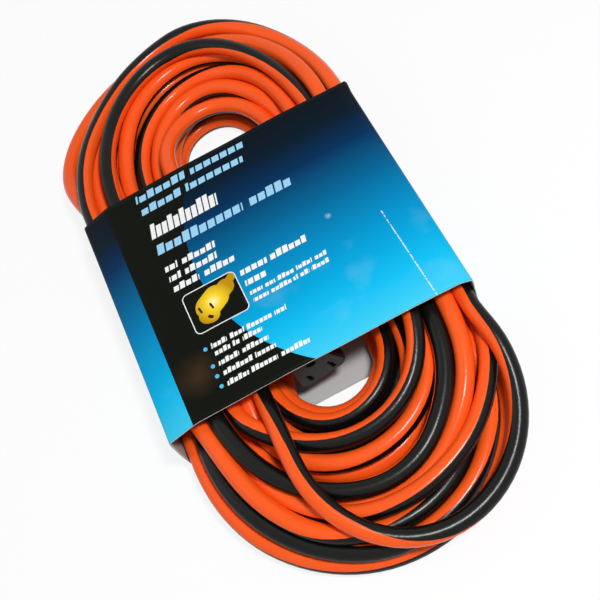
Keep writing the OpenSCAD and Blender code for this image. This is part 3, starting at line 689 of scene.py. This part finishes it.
inside_card = Finish("sleeve_inside")
fibre = inside_card.noise(1400, 3) * 0.7 + inside_card.noise(70, 2) * 0.3
inside_card.set(
    Base_Color=inside_card.mix(fibre, (0.44, 0.44, 0.445), (0.56, 0.56, 0.56)),
    Roughness=0.8 + 0.15 * fibre,
)
inside_card.bump(fibre, 0.25, 0.2 * mm)
card_edge = Finish("sleeve_edge")
ply = card_edge.noise(2600, 2)
card_edge.set(
    Base_Color=card_edge.mix(ply, (0.5, 0.49, 0.46), (0.82, 0.8, 0.76)),
    Roughness=0.85 + 0.1 * ply,
)
for finish in (printed, inside_card, card_edge):
    sleeve_mesh.materials.append(finish.material)
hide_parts("sleeve")
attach(sleeve, "sleeve")

# ---------------------------------------------------------------------------------------------
# Mouldings: the plug's and the connector's bodies are black vinyl, moulded on the cord in one
# shot. The tool's satin face shows as a fine grain, and the flow of the vinyl as slight clouds.
vinyl = Finish("black_vinyl", IOR=1.5, Specular_IOR_Level=0.14)
satin, flow = vinyl.noise(700, 2), vinyl.noise(60, 3)
vinyl.set(
    Base_Color=vinyl.mix(flow, (0.009, 0.009, 0.0095), (0.017, 0.017, 0.0175)),
    Roughness=0.36 + 0.16 * satin,
)
vinyl.bump(satin + 0.5 * flow, 0.15, 0.3 * mm)
vinyl.on(nodes["plug_body"], nodes["connector_body"])


# ---------------------------------------------------------------------------------------------
# Blades, pin and contacts: nickel-plated blades and a turned pin in the plug, and pressed brass
# contacts in the connector. Lines from drawing and pressing run along them.
def drawn_metal(name, bright, dull, roughness, *on_nodes):
    metal = Finish(name, Metallic=1)
    lines, tarnish = metal.noise(2600, 3, (1, 0.04, 1)), metal.noise(130, 3)
    metal.set(
        Base_Color=metal.mix(tarnish, bright, dull),
        Roughness=roughness + 0.14 * lines + 0.1 * tarnish,
    )
    metal.bump(lines, 0.12, 0.05 * mm)
    metal.on(*(nodes[node] for node in on_nodes))


drawn_metal(
    "nickel_plate", (0.76, 0.745, 0.71), (0.62, 0.6, 0.56), 0.14,
    "line_blade", "neutral_blade", "ground_pin",
)
drawn_metal(
    "pressed_brass", (0.82, 0.6, 0.26), (0.6, 0.41, 0.17), 0.2,
    "line_contact", "neutral_contact", "ground_contact",
)

# ---------------------------------------------------------------------------------------------
# Conductors: strands of bare copper, twisted together, under a vinyl insulation whose colour says
# which conductor it is.
copper = Finish("stranded_copper", Metallic=1)
strand = copper.node("ShaderNodeTexWave", {
    "Vector": copper.place(), "Scale": 1700, "Distortion": 0.6, "Detail": 1,
}, output=1, bands_direction="DIAGONAL")
oxide = copper.noise(220, 3)
copper.set(
    Base_Color=copper.mix(oxide, (0.88, 0.46, 0.29), (0.6, 0.25, 0.13)),
    Roughness=0.42 - 0.16 * strand + 0.1 * oxide,
)
copper.bump(strand, 0.5, 0.12 * mm)
copper.on(*(node for name, node in nodes.items() if name.endswith("_copper")))

for conductor, fresh, deep in (
    ("line", (0.02, 0.02, 0.02), (0.011, 0.011, 0.011)),
    ("neutral", (0.86, 0.86, 0.83), (0.72, 0.71, 0.66)),
    ("ground", (0.02, 0.27, 0.05), (0.012, 0.17, 0.035)),
):
    insulation = Finish(f"{conductor}_insulation", IOR=1.5)
    drag, powder = insulation.noise(1500, 2, (1, 0.06, 1)), insulation.noise(400, 3)
    insulation.set(
        Base_Color=insulation.mix(powder, fresh, deep),
        Roughness=0.34 + 0.12 * drag + 0.12 * powder,
    )
    insulation.bump(drag, 0.15, 0.1 * mm)
    insulation.on(*(nodes[f"{end}_{conductor}_wire"] for end in ("plug", "connector")))


# ---------------------------------------------------------------------------------------------
# Bridge and carrier: nylon blocks, moulded first, that hold the blades and the contacts in line
# while the vinyl is moulded round them.
def nylon(name, pale, deep, node):
    block = Finish(name, IOR=1.53, Subsurface_Weight=0.05, Subsurface_Scale=2 * mm)
    swirl, grain = block.noise(260, 4), block.noise(1800, 2)
    block.set(
        Base_Color=block.mix(swirl, pale, deep), Roughness=0.4 + 0.15 * grain + 0.08 * swirl
    )
    block.bump(grain + swirl, 0.12, 0.1 * mm)
    block.on(nodes[node])


nylon("dark_nylon", (0.032, 0.032, 0.034), (0.02, 0.02, 0.022), "plug_bridge")
nylon("pale_nylon", (0.82, 0.79, 0.7), (0.7, 0.66, 0.56), "contact_carrier")

# ---------------------------------------------------------------------------------------------
# Indicator: a neon lamp and its series resistor, wired between line and neutral under an amber
# lens, so that the connector's end glows when it has power.
lens = Finish("amber_lens", Roughness=0.12, IOR=1.49, Transmission_Weight=0.7)
lens.set(Base_Color=lens.mix(lens.noise(150, 2), (1.0, 0.42, 0.03), (0.86, 0.3, 0.02)))
lens.bump(lens.noise(500, 2), 0.08, 0.2 * mm)
lens.on(nodes["indicator_lens"])

glass = Finish("lamp_glass", IOR=1.47, Transmission_Weight=0.85)
soot = glass.noise(700, 2)
glass.set(
    Base_Color=glass.mix(soot, (1.0, 0.85, 0.7), (0.8, 0.55, 0.38)), Roughness=0.04 + 0.1 * soot
)
glass.on(nodes["indicator_lamp"])

# The resistor's bands: how far each starts from its end, and its colour
RESISTOR_BANDS = [
    (0.7, (0.85, 0.6, 0.02)), (1.4, (0.2, 0.03, 0.35)), (2.1, (0.85, 0.2, 0.01)),
    (3.2, (0.55, 0.38, 0.1)),
]
band_w = 0.4
resistor_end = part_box("lamp_resistor")[0][1] / mm
resistor = Finish("lacquered_resistor", IOR=1.5)
speck = resistor.noise(1500, 2)
along_body = resistor.node("ShaderNodeSeparateXYZ", {0: resistor.place()}, output=1) * (1 / mm)
lacquer = resistor.mix(speck, (0.66, 0.47, 0.26), (0.52, 0.35, 0.18))
for start, band in RESISTOR_BANDS:
    low = resistor_end + start
    lacquer = resistor.mix(within(low, along_body, low + band_w), lacquer, band)
resistor.set(Base_Color=lacquer, Roughness=0.3 + 0.15 * speck)
resistor.bump(speck, 0.1, 0.1 * mm)
resistor.on(nodes["lamp_resistor"])
drawn_metal("tinned_wire", (0.72, 0.72, 0.71), (0.56, 0.56, 0.55), 0.3, "lamp_leads")

# ---------------------------------------------------------------------------------------------
# Studio: a sheet of white paper on the floor, an even pale light all round, a small lamp high on
# the near right and a broad, weaker one on the left.
paper_half, paper_glow = 3, 0.85
sky_light = 0.26
paper_mesh = bmesh.new()
bmesh.ops.create_grid(paper_mesh, x_segments=1, y_segments=1, size=paper_half)
floor_data = bpy.data.meshes.new("floor")
paper_mesh.to_mesh(floor_data)
paper_mesh.free()
floor = bpy.data.objects.new("floor", floor_data)
scene.collection.objects.link(floor)


def background_ray(finish):
    """1 for the rays that show the background: the camera's, and those in metal and glass."""
    path = finish.node("ShaderNodeLightPath").socket.node.outputs
    camera_ray, glossy_ray, clear_ray = (
        Value(finish, path[f"Is {ray} Ray"]) for ray in ("Camera", "Glossy", "Transmission")
    )
    return (camera_ray + glossy_ray + clear_ray).maths("MINIMUM", 1)


paper = Finish("floor", Base_Color=(0.92, 0.92, 0.92), Roughness=0.9)
shown = paper.node("ShaderNodeMixShader", {
    0: background_ray(paper) * paper_glow,
    1: Value(paper, paper.shader.outputs[0]),
    2: paper.node("ShaderNodeEmission", {0: (1, 1, 1)}),
})
output = next(n for n in paper.tree.nodes if n.type == "OUTPUT_MATERIAL")
paper.join(output.inputs[0], shown)
paper.on(floor)

scene.world = bpy.data.worlds.new("studio")
sky = Finish("studio", world=scene.world, Color=(1, 1, 1))
sky.set(Strength=sky_light + (1 - sky_light) * background_ray(sky))


def lamp(name, place, size, power):
    """A square lamp that shines on the middle of the floor, in metres and watts."""
    light = bpy.data.lights.new(name, "AREA")
    light.size, light.energy = size, power
    made = bpy.data.objects.new(name, light)
    made.location = place
    made.rotation_euler = (-Vector(place)).to_track_quat("-Z", "Y").to_euler()
    scene.collection.objects.link(made)


lamp("key_light", (0.26, -0.32, 0.93), 0.14, 7.6)
lamp("fill_light", (-0.75, 0.2, 0.75), 0.8, 1.3)
